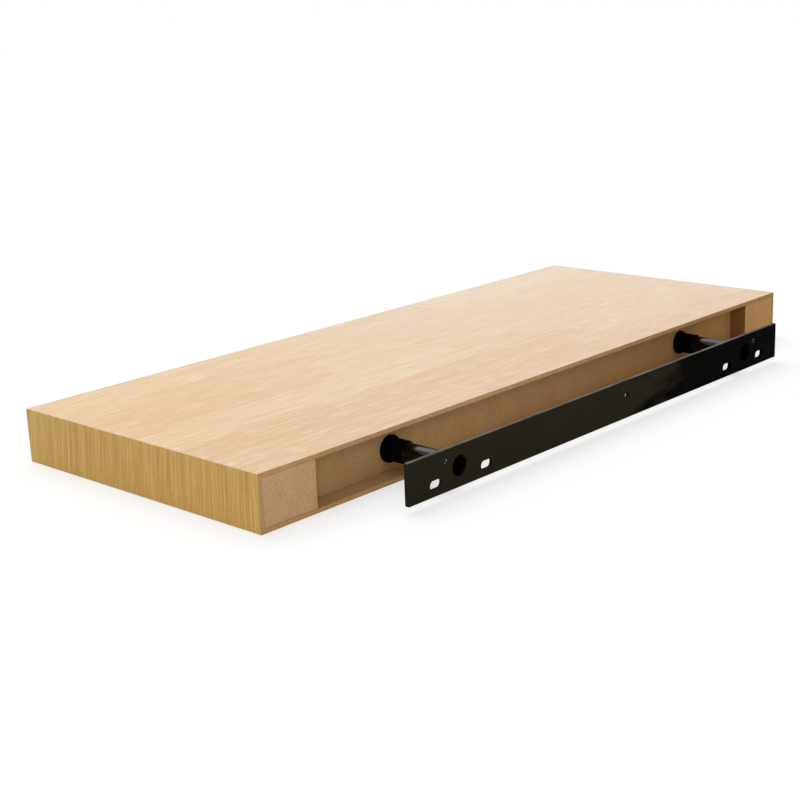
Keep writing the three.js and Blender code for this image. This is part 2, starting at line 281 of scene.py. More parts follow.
class Finish:
    """A node material under construction, with short calls for the nodes that it uses most."""

    def __init__(self, name, specular, metallic=0.0):
        self.material = bpy.data.materials.new(name)
        self.material.use_nodes = True
        self.nodes = self.material.node_tree.nodes
        self.links = self.material.node_tree.links
        self.shader = self.nodes["Principled BSDF"]
        self.shader.inputs["Specular IOR Level"].default_value = specular
        self.shader.inputs["Metallic"].default_value = metallic
        self.place = self.nodes.new("ShaderNodeTexCoord").outputs["Object"]

    def coat(self, weight, roughness):
        """A clear lacquer over the colour."""
        self.shader.inputs["Coat Weight"].default_value = weight
        self.shader.inputs["Coat Roughness"].default_value = roughness

    def feed(self, socket, value):
        """Puts a number, a colour or another node's output into a socket."""
        if isinstance(value, bpy.types.NodeSocket):
            self.links.new(value, socket)
        elif isinstance(value, (tuple, list)) and len(value) == 3 and socket.type == "RGBA":
            socket.default_value = (*value, 1.0)
        else:
            socket.default_value = value

    def maths(self, operation, *values):
        """One step of arithmetic on numbers or outputs."""
        node = self.nodes.new("ShaderNodeMath")
        node.operation = operation
        for socket, value in zip(node.inputs, values):
            self.feed(socket, value)
        return node.outputs[0]

    def vector(self, operation, *values):
        """One step of arithmetic on places."""
        node = self.nodes.new("ShaderNodeVectorMath")
        node.operation = operation
        for socket, value in zip(node.inputs, values):
            self.feed(socket, value)
        return node.outputs[0]

    def split(self, vector):
        """The x, y and z of a place."""
        node = self.nodes.new("ShaderNodeSeparateXYZ")
        self.feed(node.inputs[0], vector)
        return node.outputs

    def joined(self, x, y, z):
        """A place from its x, y and z."""
        node = self.nodes.new("ShaderNodeCombineXYZ")
        for socket, value in zip(node.inputs, (x, y, z)):
            self.feed(socket, value)
        return node.outputs[0]

    def noise(self, place, stretch, detail=3.0, roughness=0.55, distortion=0.0):
        """Noise whose waves per metre are given for each axis."""
        node = self.nodes.new("ShaderNodeTexNoise")
        self.feed(node.inputs["Vector"], self.vector("MULTIPLY", place, stretch))
        node.inputs["Scale"].default_value = 1.0
        node.inputs["Detail"].default_value = detail
        node.inputs["Roughness"].default_value = roughness
        node.inputs["Distortion"].default_value = distortion
        return node.outputs["Fac"]

    def spread(self, value, from_low, from_high, to_low=0.0, to_high=1.0):
        """The value's range mapped to another, and held at its ends."""
        node = self.nodes.new("ShaderNodeMapRange")
        node.clamp = True
        self.feed(node.inputs["Value"], value)
        self.feed(node.inputs["From Min"], from_low)
        self.feed(node.inputs["From Max"], from_high)
        self.feed(node.inputs["To Min"], to_low)
        self.feed(node.inputs["To Max"], to_high)
        return node.outputs["Result"]

    def mix(self, share, first, second, blend="MIX"):
        """The first colour, with its share of the second blended in."""
        node = self.nodes.new("ShaderNodeMix")
        node.data_type = "RGBA"
        node.blend_type = blend
        self.feed(node.inputs["Factor"], share)
        # The node has A, B and Result once for each data type, and these are the colours' ones
        self.feed(node.inputs[6], first)
        self.feed(node.inputs[7], second)
        return node.outputs[2]

    def glaze(self, colour, value, start, full, share, tint):
        """The colour with a tint over it, from none where the value is at start to its share at full."""
        return self.mix(self.spread(value, start, full, 0.0, share), colour, srgb(*tint))

    def steps(self, value, colours):
        """One colour for each equal step of the value from 0 to 1."""
        node = self.nodes.new("ShaderNodeValToRGB")
        node.color_ramp.interpolation = "CONSTANT"
        elements = node.color_ramp.elements
        while len(elements) < len(colours):
            elements.new(1.0)
        for index, colour in enumerate(colours):
            elements[index].position = index / len(colours)
            elements[index].color = (*colour, 1.0)
        self.feed(node.inputs[0], value)
        return node.outputs["Color"]

    def channels(self, colour):
        """The three numbers that a colour holds."""
        node = self.nodes.new("ShaderNodeSeparateColor")
        self.feed(node.inputs[0], colour)
        return node.outputs

    def paint(self, colour):
        """Makes it the colour of the whole material."""
        self.feed(self.shader.inputs["Base Color"], colour)

    def dull(self, value, low, high):
        """Roughness that follows a value between two levels."""
        self.feed(self.shader.inputs["Roughness"], self.spread(value, 0.25, 0.75, low, high))

    def bump(self, height, depth, strength):
        """Relief of the given depth in metres."""
        node = self.nodes.new("ShaderNodeBump")
        node.inputs["Strength"].default_value = strength
        node.inputs["Distance"].default_value = depth
        self.feed(node.inputs["Height"], height)
        self.feed(self.shader.inputs["Normal"], node.outputs[0])


def srgb(red, green, blue):
    """A colour given in display values from 0 to 255, as linear light."""

    def linear(value):
        share = value / 255
        return share / 12.92 if share <= 0.04045 else ((share + 0.055) / 1.055) ** 2.4

    return tuple(linear(value) for value in (red, green, blue))


def stave_of(f):
    """Each point's tone, the place in the wood that its grain comes from, and its way across its stave."""
    x, y, z = f.split(f.place)
    from_front = f.maths("SUBTRACT", y, BOARD_LOW.y)
    from_right = f.maths("SUBTRACT", BOARD_HIGH.x, x)
    in_rows = f.maths("DIVIDE", f.maths("ADD", from_front, STAVE_WIDTH - FIRST_STAVE_WIDTH), STAVE_WIDTH)
    row = f.maths("FLOOR", in_rows)
    row = f.maths("MINIMUM", f.maths("MAXIMUM", row, 0.0), STAVE_ROWS - 1.0)
    length = BOARD_HIGH.x - BOARD_LOW.x
    staves = [(joint * MM / length, *woods) for joint, woods in zip(STAVE_JOINTS, STAVE_WOODS)]
    stave = f.steps(f.maths("DIVIDE", f.maths("ADD", row, 0.5), STAVE_ROWS), staves)
    joint, tone_before, tone_past = f.channels(stave)
    past = f.maths("GREATER_THAN", from_right, f.maths("MULTIPLY", joint, length))
    before = f.maths("SUBTRACT", 1.0, past)
    tone = f.maths("ADD", f.maths("MULTIPLY", before, tone_before), f.maths("MULTIPLY", past, tone_past))

    on_top = f.maths("GREATER_THAN", z, (BOARD_LOW.z + BOARD_HIGH.z) / 2)
    seed = f.maths("MULTIPLY", row, GRAIN_PER_ROW)
    for chosen, shift in ((past, GRAIN_PAST_JOINT), (on_top, GRAIN_ON_TOP)):
        seed = f.maths("ADD", seed, f.maths("MULTIPLY", chosen, shift))
    wood = f.vector("ADD", f.place, f.joined(seed, f.maths("MULTIPLY", seed, GRAIN_ACROSS), 0.0))
    return tone, wood, f.maths("FRACT", in_rows)


def growth_rings(f, wood, across, from_right):
    """Growth rings cut at a slant, which run along a stave as long nested arches."""
    heart = f.maths("SUBTRACT", across, 0.5)
    arch = f.maths("MULTIPLY", f.maths("MULTIPLY", heart, heart), RING_ARCH)
    slant = f.maths("MULTIPLY", from_right, RING_SLANT)
    waver = f.maths("MULTIPLY", f.noise(wood, (7.0, 34.0, 34.0)), RING_WAVER)
    rings = f.maths("ADD", f.maths("ADD", arch, slant), waver)
    rings = f.maths("SINE", f.maths("MULTIPLY", rings, 2 * math.pi * RING_RATE))
    return f.spread(rings, 0.1, 1.0)


def oak_foil(name):
    """Pale oak foil printed as glued staves: rows along X, each with one end joint, in four tones."""
    f = Finish(name, specular=0.25)
    f.coat(weight=0.7, roughness=0.3)
    x, y, _ = f.split(f.place)
    from_right = f.maths("SUBTRACT", BOARD_HIGH.x, x)
    tone, wood, across = stave_of(f)
    wander = f.noise(wood, (5.0, 20.0, 20.0), detail=1.0)
    wobble = f.noise(wood, (38.0, 70.0, 70.0), detail=2.0)
    wander_y = f.maths("MULTIPLY", wander, GRAIN_WANDER)
    wobble_y = f.maths("MULTIPLY", wobble, GRAIN_WOBBLE)
    bent = f.vector("ADD", wood, f.joined(0.0, f.maths("ADD", wander_y, wobble_y), 0.0))
    streaks = f.noise(bent, (10.0, 240.0, 240.0), detail=4.0, roughness=0.6)
    lines = f.noise(bent, (34.0, 480.0, 480.0), detail=3.0, roughness=0.65)
    fibres = f.noise(bent, (22.0, 1100.0, 1100.0), detail=3.0, roughness=0.6)
    flecks = f.noise(bent, (45.0, 700.0, 700.0), detail=2.0)
    pores = f.noise(bent, (130.0, 3000.0, 3000.0), detail=1.0)
    clouds = f.noise(wood, (5.0, 18.0, 18.0), detail=2.0)
    mottles = f.noise(bent, (55.0, 150.0, 150.0), detail=3.0, roughness=0.6)

    rings = growth_rings(f, wood, across, from_right)
    rings = f.maths("MULTIPLY", rings, f.spread(wander, 0.4, 0.6, 0.2, 1.0))
    rings = f.maths("MULTIPLY", rings, f.spread(tone, PALE, PEACH, 0.2, 1.0))

    # The tones of the wood, and the photo's light on them
    colour = f.mix(tone, srgb(238, 214, 181), srgb(229, 186, 145))
    colour = f.glaze(colour, clouds, 0.35, 0.7, 0.4, (233, 197, 154))
    colour = f.glaze(colour, from_right, *GOLDEN_CAST, 0.75, (240, 196, 116))
    depth = f.spread(from_right, *DEEP_STAVES, 0.0, 0.6)
    colour = f.glaze(colour, tone, HONEY, PEACH, depth, (222, 170, 92))
    colour = f.glaze(colour, y, *REAR_SHADE, 0.38, (217, 184, 148))

    # The grain is fainter towards the left end
    clear = f.spread(x, *CLEAR_GRAIN, 0.15, 0.47)
    clear_streaks = f.spread(x, *CLEAR_STREAKS, 0.36, 0.5)
    colour = f.glaze(colour, mottles, 0.5, 0.7, 0.56, (230, 186, 132))
    colour = f.glaze(colour, mottles, 0.48, 0.3, 0.56, (242, 220, 186))
    colour = f.glaze(colour, streaks, 0.45, 0.75, clear_streaks, (216, 171, 104))
    colour = f.glaze(colour, streaks, 0.5, 0.25, clear_streaks, (239, 217, 184))
    colour = f.glaze(colour, rings, 0.0, 1.0, 0.22, (210, 158, 84))
    colour = f.glaze(colour, lines, 0.54, 0.72, clear, (210, 158, 80))
    colour = f.glaze(colour, lines, 0.44, 0.28, clear, (246, 226, 194))
    colour = f.glaze(colour, fibres, 0.5, 0.75, clear, (210, 165, 94))
    colour = f.glaze(colour, flecks, 0.6, 0.75, 0.35, (243, 224, 194))
    colour = f.glaze(colour, pores, 0.64, 0.74, 0.3, (176, 130, 84))
    f.paint(colour)
    f.dull(fibres, 0.42, 0.52)
    f.bump(f.maths("ADD", fibres, f.maths("MULTIPLY", pores, 0.6)), depth=0.04 * MM, strength=0.5)
    return f.material


def oak_end_foil(name):
    """Golden oak edging with upright grain that leans a little towards the rear at its top; its darker golden
    colour is partly its own and partly painted shade.
    """
    f = Finish(name, specular=0.4)
    x, y, z = f.split(f.place)
    lean = f.maths("MULTIPLY", z, f.spread(y, BOARD_LOW.y, BOARD_HIGH.y, *END_GRAIN_LEAN))
    bent = f.joined(x, f.maths("ADD", y, lean), z)
    wander = f.noise(bent, (20.0, 30.0, 12.0), detail=1.0)
    bent = f.vector("ADD", bent, f.joined(0.0, f.maths("MULTIPLY", wander, END_GRAIN_WANDER), 0.0))
    bands = f.noise(bent, (0.0, 85.0, 3.0), detail=2.0)
    streaks = f.noise(bent, (0.0, 470.0, 11.0), detail=3.0, roughness=0.65)
    fibres = f.noise(bent, (0.0, 1000.0, 26.0), detail=3.0, roughness=0.6)
    pores = f.noise(bent, (0.0, 2300.0, 170.0), detail=1.0)
    colour = f.mix(f.spread(bands, 0.35, 0.65), srgb(208, 159, 72), srgb(219, 180, 99))
    colour = f.glaze(colour, streaks, 0.5, 0.7, 0.62, (190, 136, 52))
    colour = f.glaze(colour, streaks, 0.48, 0.3, 0.6, (234, 200, 124))
    colour = f.glaze(colour, fibres, 0.5, 0.7, 0.6, (186, 132, 52))
    colour = f.glaze(colour, fibres, 0.46, 0.3, 0.5, (238, 206, 136))
    colour = f.glaze(colour, pores, 0.62, 0.72, 0.5, (162, 108, 44))
    f.paint(colour)
    f.dull(fibres, 0.48, 0.58)
    f.bump(f.maths("ADD", fibres, pores), depth=0.04 * MM, strength=0.5)
    return f.material


def raw_fibreboard(name, body, dark, light, clump=1.0, left_shade_colour=None):
    """Sawn fibreboard: fine fibres pressed flat, with small darker and lighter bundles.

    left_shade_colour, where given, darkens a long board's left end as painted shade, and its right end gets painted
    shade too.
    """
    f = Finish(name, specular=0.25)
    clouds = f.noise(f.place, (60.0, 60.0, 35.0), detail=3.0)
    bundles = f.noise(f.place, (560.0 * clump, 560.0 * clump, 560.0 * clump), detail=3.0, roughness=0.65)
    fibres = f.noise(f.place, (1700.0, 1700.0, 1500.0), detail=2.0, roughness=0.6, distortion=0.8)
    colour = f.glaze(srgb(*body), clouds, 0.35, 0.65, 0.3, dark)
    colour = f.glaze(colour, bundles, 0.52, 0.75, 0.5, dark)
    colour = f.glaze(colour, bundles, 0.48, 0.25, 0.55, light)
    colour = f.glaze(colour, fibres, 0.55, 0.75, 0.65, dark)
    colour = f.glaze(colour, fibres, 0.45, 0.25, 0.65, light)
    if left_shade_colour:
        x = f.split(f.place)[0]
        # Painted shade: darker and warmer towards the board's left end, and greyer at its right end
        colour = f.mix(f.spread(x, *LEFT_PAINTED_SHADE), colour, left_shade_colour, blend="MULTIPLY")
        colour = f.mix(f.spread(x, *RIGHT_SHADE), colour, RIGHT_SHADE_COLOUR, blend="MULTIPLY")
    f.paint(colour)
    f.dull(bundles, 0.82, 0.95)
    f.bump(f.maths("ADD", fibres, bundles), depth=0.09 * MM, strength=0.7)
    return f.material


def kraft_paper(name):
    """Brown honeycomb paper with fine fibres."""
    f = Finish(name, specular=0.2)
    fibres = f.noise(f.place, (900.0, 900.0, 300.0), detail=3.0)
    clouds = f.noise(f.place, (70.0, 70.0, 70.0), detail=2.0)
    colour = f.mix(f.spread(clouds, 0.3, 0.7), srgb(176, 142, 98), srgb(190, 158, 114))
    colour = f.glaze(colour, fibres, 0.5, 0.75, 0.6, (142, 108, 70))
    f.paint(colour)
    f.dull(fibres, 0.85, 0.95)
    f.bump(fibres, depth=0.05 * MM, strength=0.6)
    return f.material


def black_paint(name, roughness, peel, specular, painted_sheen, worn_and_highlit_edges=False):
    """Black stoving paint on steel: a fine orange peel, a few duller smears and pale dust.

    painted_sheen is how much of an olive painted sheen, which stands in for a reflection, lies on it, as far as a
    ragged border left of the middle.
    Worn and highlit edges are the wall plate's long edges, where the paint is thin and rubbed grey, and that grey
    is partly a painted highlight.
    """
    f = Finish(name, specular=specular)
    x, _, z = f.split(f.place)
    waves = f.noise(f.place, (peel, peel, peel), detail=2.0)
    smears = f.noise(f.place, (18.0, 60.0, 60.0), detail=3.0)
    dust = f.noise(f.place, (1700.0, 1700.0, 1700.0), detail=0.0)
    colour = f.mix(smears, srgb(2, 2, 1), srgb(6, 5, 3))
    # Painted sheen: an olive reflection painted over the plate from a ragged border left of the middle to its right
    # end
    border = f.maths("ADD", x, f.spread(smears, 0.3, 0.7, -PLATE_PAINTED_SHEEN_RAGGED, PLATE_PAINTED_SHEEN_RAGGED))
    sheen_share = f.spread(smears, 0.3, 0.7, painted_sheen * 0.85, painted_sheen)
    colour = f.glaze(colour, border, *PLATE_PAINTED_SHEEN, sheen_share, (43, 39, 28))
    colour = f.glaze(colour, dust, 0.72, 0.8, 0.35, (92, 88, 80))
    if worn_and_highlit_edges:
        middle_z = (PLATE_LOW.z + PLATE_HIGH.z) / 2
        from_middle = f.maths("ABSOLUTE", f.maths("SUBTRACT", z, middle_z))
        from_edge = f.maths("SUBTRACT", PLATE_HIGH.z - middle_z, from_middle)
        # The rubbed grey along the long edges is partly real wear and partly a painted highlight
        rubbed = f.spread(from_edge, *WORN_AND_HIGHLIT_EDGE)
        patches = f.noise(f.place, (45.0, 300.0, 300.0), detail=3.0)
        rubbed = f.maths("MULTIPLY", rubbed, f.spread(patches, 0.3, 0.6, 0.35, 1.0))
        grey = f.mix(f.spread(x, PLATE_LOW.x, PLATE_HIGH.x), srgb(116, 113, 110), srgb(118, 114, 104))
        colour = f.mix(rubbed, colour, grey)
    f.paint(colour)
    f.dull(smears, roughness - 0.05, roughness + 0.07)
    f.bump(waves, depth=0.03 * MM, strength=0.35)
    return f.material


def bore_black(name):
    """The dull, scaly inside of the tubes, which the paint hardly reaches."""
    f = Finish(name, specular=0.0)
    scale = f.noise(f.place, (900.0, 200.0, 900.0), detail=3.0)
    f.paint(f.mix(scale, srgb(2, 2, 2), srgb(9, 8, 7)))
    f.dull(scale, 0.85, 0.95)
    f.bump(scale, depth=0.04 * MM, strength=0.5)
    return f.material


def black_plastic(name):
    """Matt black moulded plastic with a fine spark-eroded grain."""
    f = Finish(name, specular=0.03)
    grain = f.noise(f.place, (1600.0, 1600.0, 1600.0), detail=2.0)
    clouds = f.noise(f.place, (90.0, 90.0, 90.0), detail=2.0)
    colour = f.mix(clouds, srgb(3, 3, 3), srgb(6, 6, 6))
    colour = f.glaze(colour, grain, 0.6, 0.75, 0.5, (12, 12, 12))
    f.paint(colour)
    f.dull(grain, 0.78, 0.9)
    f.bump(grain, depth=0.03 * MM, strength=0.5)
    return f.material


def black_zinc(name):
    """Black zinc plating on small screws, rubbed brighter here and there."""
    f = Finish(name, specular=0.5, metallic=1.0)
    patches = f.noise(f.place, (500.0, 500.0, 500.0), detail=3.0)
    scratches = f.noise(f.place, (2500.0, 300.0, 2500.0), detail=2.0)
    colour = f.mix(patches, srgb(20, 20, 20), srgb(44, 43, 41))
    colour = f.glaze(colour, scratches, 0.6, 0.75, 0.5, (110, 108, 104))
    f.paint(colour)
    f.dull(patches, 0.3, 0.45)
    f.bump(scratches, depth=0.02 * MM, strength=0.4)
    return f.material


def rubbed_steel(name):
    """Bare steel where a driver has turned in the recess, black deeper down, and darkened on the left screw as
    painted shade.
    """
    f = Finish(name, specular=0.5, metallic=1.0)
    marks = f.noise(f.place, (1800.0, 400.0, 1800.0), detail=3.0)
    x, y, _ = f.split(f.place)
    below_wall = f.maths("SUBTRACT", WALL_Y, y)
    # Painted shade: the left screw's bare steel is kept far darker than the right one's
    shine_after_shade = f.spread(x, -ROD_X, ROD_X, LEFT_CROSS_SHADED_SHINE, 1.0)
    bare = f.spread(below_wall, *CROSS_DARKENING, 0.0, shine_after_shade)
    f.paint(f.mix(bare, srgb(14, 13, 12), f.mix(marks, srgb(176, 172, 166), srgb(246, 243, 238))))
    f.dull(marks, 0.2, 0.35)
    f.bump(marks, depth=0.02 * MM, strength=0.5)
    return f.material


FOIL = oak_foil("oak_foil")
END_FOIL = oak_end_foil("oak_end_foil")
BATTEN_BOARD = raw_fibreboard("batten_board", (196, 158, 116), (162, 122, 84), (214, 180, 140))
# Painted shade darkens the skins' raw edges and the recess board towards both ends
SKIN_BOARD = raw_fibreboard(
    "skin_board", (209, 169, 117), (176, 135, 88), (229, 189, 137), clump=1.4, left_shade_colour=(0.62, 0.55, 0.38)
)
# Shaded copies of the batten board for the left end block, as painted shade: darker on its outer faces and much
# darker on its inner wall facing the recess
SHADED_LEFT_BATTEN_BOARD = raw_fibreboard("shaded_left_batten_board", (184, 139, 86), (154, 110, 62), (202, 160, 106))
SHADED_LEFT_WALL_BOARD = raw_fibreboard("shaded_left_wall_board", (144, 100, 50), (118, 80, 39), (162, 117, 64))
RECESS_BOARD = raw_fibreboard(
    "recess_board", (201, 160, 108), (168, 128, 81), (219, 181, 126), left_shade_colour=(0.7, 0.63, 0.46)
)
KRAFT = kraft_paper("kraft_paper")
PLATE_PAINT = black_paint(
    "plate_paint", roughness=0.42, peel=700.0, specular=0.004, painted_sheen=1.0, worn_and_highlit_edges=True
)
TUBE_PAINT = black_paint("tube_paint", roughness=0.12, peel=300.0, specular=0.33, painted_sheen=0.0)
BORE_BLACK = bore_black("bore_black")
PLASTIC = black_plastic("black_plastic")
ZINC = black_zinc("black_zinc")
RUBBED = rubbed_steel("rubbed_steel")


# Board


def skin(name, node, axis, side, foil):
    """One skin of the board: foil over its show face and its rounded folds, raw board on every other face.

    axis is the index of the axis that the show face is square to, and side is -1 or +1 along it.
    """
    across = [a for a in range(3) if a != axis]
    outer = BOARD_HIGH[axis] if side > 0 else BOARD_LOW[axis]
    levels = [(SKIN_THICKNESS, SKIN_THICKNESS)]
    for step in range(FOLD_STEPS + 1):
        angle = math.radians(45 + 45 * step / FOLD_STEPS)
        levels.append((FOLD_ROUND * (1 - math.sin(angle)), FOLD_ROUND * (1 - math.cos(angle))))
    rings = []
    for depth, inset in levels:
        low = [BOARD_LOW[a] + inset + FOLD_GAP for a in across]
        high = [BOARD_HIGH[a] - inset - FOLD_GAP if a != 1 else BOARD_HIGH[a] for a in across]
        ring = []
        for u, v in ((low[0], low[1]), (high[0], low[1]), (high[0], high[1]), (low[0], high[1])):
            point = Vector()
            point[axis] = outer - side * depth
            point[across[0]], point[across[1]] = u, v
            ring.append(point)
        turns_right = (across[0] + 1) % 3 == across[1]
        rings.append(ring if turns_right == (side > 0) else ring[::-1])
    vertices, faces = stacked(rings)
    made = piece_of(name, vertices, faces, [foil, SKIN_BOARD, RECESS_BOARD])
    for polygon in made.data.polygons:
        outward = polygon.normal[axis] * side
        if outward < INNER_FACE:
            polygon.material_index = 2
        elif outward <= SHOW_FACE:
            polygon.material_index = 1
    shade_round(made, angle=31)
    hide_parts(node)
    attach(made, "shelf")


def end_block(name, node, side):
    """One end batten, with the slight rounding that sawing and sanding leave on its edges."""
    low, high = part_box(node)
    plan = ((low.x, low.y), (high.x, low.y), (high.x, high.y), (low.x, high.y))
    vertices, faces = stacked([[(x, y, z) for x, y in plan] for z in (low.z, high.z)])
    # The left block takes shaded copies of the board, painted shade for the far end and its inner wall
    boards = (BATTEN_BOARD, RECESS_BOARD) if side > 0 else (SHADED_LEFT_BATTEN_BOARD, SHADED_LEFT_WALL_BOARD)
    made = piece_of(name, vertices, faces, boards)
    bevel = made.modifiers.new("eased edges", "BEVEL")
    bevel.width = BATTEN_EDGE_ROUND
    bevel.segments = BATTEN_EDGE_STEPS
    settle(made)
    for polygon in made.data.polygons:
        polygon.material_index = 1 if polygon.normal.x * side < INNER_FACE else 0
    shade_round(made, angle=50)
    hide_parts(node)
    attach(made, "shelf")


def repaint(node, material):
    """Gives a carried-over node its finished material."""
    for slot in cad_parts[node].material_slots:
        slot.material = material


def rod_bush(side_name, side):
    """The flanged bush in the rear rail that one rod slides in."""
    y = RAIL_OUTER_Y
    flat = y + BUSH_FLANGE_THICKNESS
    section = [
        (BUSH_BORE, y - RAIL_THICKNESS),
        (BUSH_BARREL_RADIUS, y - RAIL_THICKNESS),
        (BUSH_BARREL_RADIUS, y + BUSH_SEAT),
        (BUSH_FLANGE_RADIUS, y + BUSH_SEAT),
        *arc(BUSH_FLANGE_RADIUS - BUSH_FLANGE_ROUND, flat - BUSH_FLANGE_ROUND, BUSH_FLANGE_ROUND, 0, 90, 6),
        *arc(BUSH_BORE + BUSH_MOUTH_ROUND, flat - BUSH_MOUTH_ROUND, BUSH_MOUTH_ROUND, 90, 180),
    ]
    made = turned(f"{side_name}_flanged_bush", section, (side * ROD_X, ROD_Z), PLASTIC)
    shade_round(made)
    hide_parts(f"{side_name}_rod_bush")
    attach(made, "shelf")


# Wall bracket


def rounded_outline(half_width, half_height, radius):
    """Points (x, z) of a rounded rectangle about the origin."""
    points = []
    for quarter, (x, z) in enumerate(((1, 1), (-1, 1), (-1, -1), (1, -1))):
        centre_x, centre_z = x * (half_width - radius), z * (half_height - radius)
        for step in range(PLATE_CORNER_STEPS + 1):
            angle = math.pi / 2 * (quarter + step / PLATE_CORNER_STEPS)
            points.append((centre_x + radius * math.cos(angle), centre_z + radius * math.sin(angle)))
    return points


def hole_cutter(x, z, radius, stretch=0.0):
    """Rings of a cutter with rounded mouths at both faces of the plate; stretch makes it a slot along X."""
    depths = []
    for step in range(HOLE_MOUTH_STEPS + 1):
        angle = math.pi / 2 * step / HOLE_MOUTH_STEPS
        depths.append((HOLE_MOUTH_ROUND * (1 - math.cos(angle)), HOLE_MOUTH_ROUND * (1 - math.sin(angle))))
    wall_side = [(WALL_Y - depth, grow) for depth, grow in depths]
    inner_side = [(PLATE_INNER_Y + depth, grow) for depth, grow in reversed(depths)]
    levels = [(WALL_Y + CUT_OVERRUN, HOLE_MOUTH_ROUND), *wall_side, *inner_side]
    levels.append((PLATE_INNER_Y - CUT_OVERRUN, HOLE_MOUTH_ROUND))
    count = ROUND_SEGMENTS // 2
    rings = []
    for y, grow in levels:
        ring = []
        for k in range(count):
            angle = 2 * math.pi * (k + 0.5) / count
            shift = math.copysign(stretch / 2, math.cos(angle))
            out = radius + grow
            ring.append((x + shift + out * math.cos(angle), y, z + out * math.sin(angle)))
        rings.append(ring)
    return rings


def plate_holes():
    """The rings of each cutter: tube holes, tapped holes, screw slots and the small middle hole."""
    stretch = SLOT_LENGTH - SLOT_WIDTH
    holes = []
    for _, side in SIDES:
        holes.append(hole_cutter(side * ROD_X, ROD_Z, TUBE_RADIUS + TUBE_FIT))
        holes.append(hole_cutter(side * (ROD_X + SCREW_OFFSET), ROD_Z + SCREW_RISE, SCREW_HOLE_RADIUS))
        for along in (-SLOT_INBOARD, SLOT_OUTBOARD):
            holes.append(hole_cutter(side * (ROD_X + along), ROD_Z - SLOT_DROP, SLOT_WIDTH / 2, stretch))
    holes.append(hole_cutter(MIDDLE_HOLE_SHIFT, ROD_Z + MIDDLE_HOLE_RISE, MIDDLE_HOLE_RADIUS))
    return holes


def wall_plate():
    """The painted steel plate with its slots, tube holes, tapped holes and small middle hole."""
    middle_z = (PLATE_LOW.z + PLATE_HIGH.z) / 2
    half_width = (PLATE_HIGH.x - PLATE_LOW.x) / 2
    half_height = (PLATE_HIGH.z - PLATE_LOW.z) / 2
    levels = []
    for step in range(PLATE_EDGE_STEPS + 1):
        angle = math.pi / 2 * step / PLATE_EDGE_STEPS
        levels.append((PLATE_EDGE_ROUND * (1 - math.sin(angle)), PLATE_EDGE_ROUND * (1 - math.cos(angle))))
    heights = [(WALL_Y - depth, inset) for depth, inset in reversed(levels)]
    heights += [(PLATE_INNER_Y + depth, inset) for depth, inset in levels]
    rings = []
    for y, inset in heights:
        outline = rounded_outline(half_width - inset, half_height - inset, PLATE_CORNER_RADIUS - inset)
        rings.append([(x, y, middle_z + z) for x, z in outline])
    vertices, faces = stacked(rings)
    made = piece_of("bracket_plate", vertices, faces, [PLATE_PAINT])

    points, sides = [], []
    for rings in plate_holes():
        hole_points, hole_faces = stacked(rings)
        sides += [tuple(len(points) + index for index in face) for face in hole_faces]
        points += hole_points
    carve(made, piece_of("holes", points, sides))
    shade_round(made)
    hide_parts("wall_plate")
    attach(made, "wall_bracket")


def support_tube(side_name, side):
    """One welded tube, open at the wall and at its tip."""
    wall_end = WALL_Y - TUBE_END_RECESS
    tip = PLATE_INNER_Y - TUBE_REACH
    section = [
        *arc(TUBE_BORE + TUBE_LIP_ROUND, tip + TUBE_LIP_ROUND, TUBE_LIP_ROUND, 180, 270),
        *arc(TUBE_RADIUS - TUBE_LIP_ROUND, tip + TUBE_LIP_ROUND, TUBE_LIP_ROUND, 270, 360),
        *arc(TUBE_RADIUS - TUBE_LIP_ROUND, wall_end - TUBE_LIP_ROUND, TUBE_LIP_ROUND, 0, 90),
        *arc(TUBE_BORE + TUBE_LIP_ROUND, wall_end - TUBE_LIP_ROUND, TUBE_LIP_ROUND, 90, 180),
    ]
    made = turned(f"{side_name}_rod_tube", section, (side * ROD_X, ROD_Z), TUBE_PAINT)
    made.data.materials.append(BORE_BLACK)
    for polygon in made.data.polygons:
        from_axis = math.hypot(polygon.center.x - side * ROD_X, polygon.center.z - ROD_Z)
        if from_axis < TUBE_RADIUS - 0.5 * TUBE_LIP_ROUND:
            polygon.material_index = 1
    shade_round(made)
    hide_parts(f"{side_name}_support_tube")
    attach(made, "wall_bracket")


def weld_bead(side_name, side):
    """The rippled weld that joins a tube to the plate's inner face."""
    foot = PLATE_INNER_Y + WELD_BITE
    inner = TUBE_RADIUS - WELD_BITE
    crown = []
    for step in range(WELD_STEPS + 1):
        share = step / WELD_STEPS
        bulge = WELD_BULGE * math.sin(math.pi * share)
        crown.append((inner + WELD_LEG * (1 - share) + bulge, foot - WELD_LEG * share - bulge))
    section = [(inner, foot), *crown][::-1]

    def ripple(angle, index):
        if WELD_PLAIN_RINGS <= index <= WELD_STEPS:
            return WELD_RIPPLE_HEIGHT * abs(math.sin(angle * WELD_RIPPLES / 2))
        return 0.0

    centre = (side * ROD_X, ROD_Z)
    made = turned(f"{side_name}_weld_bead", section, centre, PLATE_PAINT, 2 * ROUND_SEGMENTS, ripple)
    shade_round(made, angle=60)
    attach(made, "wall_bracket")


